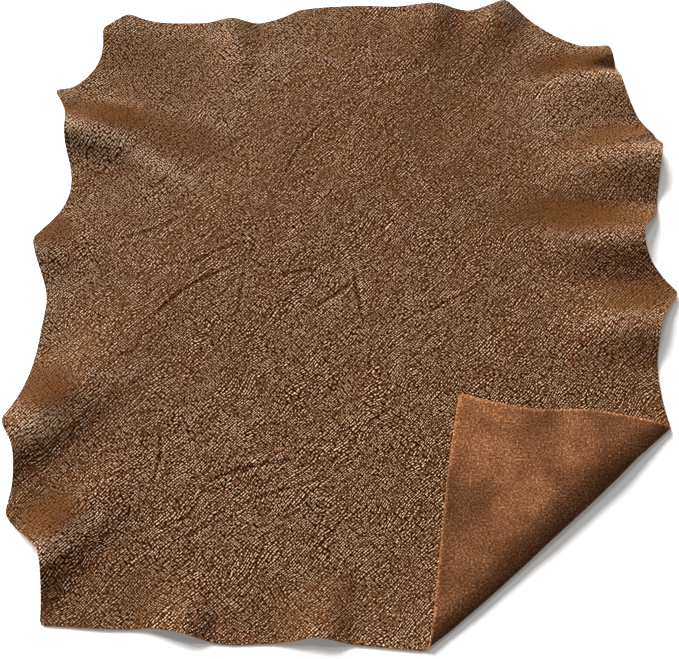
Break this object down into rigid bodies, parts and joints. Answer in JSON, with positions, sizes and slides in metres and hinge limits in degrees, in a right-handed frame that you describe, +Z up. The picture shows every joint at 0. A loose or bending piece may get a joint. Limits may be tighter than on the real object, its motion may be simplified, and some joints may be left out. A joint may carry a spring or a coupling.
{
  "type": "leather hide",
  "caption": "Whole pebbled leather hide with a scalloped, rippled rim, lying grain side up with one corner folded over to show its suede flesh side.",
  "frame": {"origin": "on the surface the hide lies on, under the middle of its box", "axes": "+X towards the side with the folded corner, +Y away from the end with the folded corner, +Z up from the grain side"},
  "size_m": [0.7939, 0.8514, 0.0232],
  "materials": {
    "leather": "semi-matt pebbled brown grain on top, tan suede on the flesh side"
  },
  "bodies": {
    "root": {"hide": "leather"}
  },
  "joints": []
}
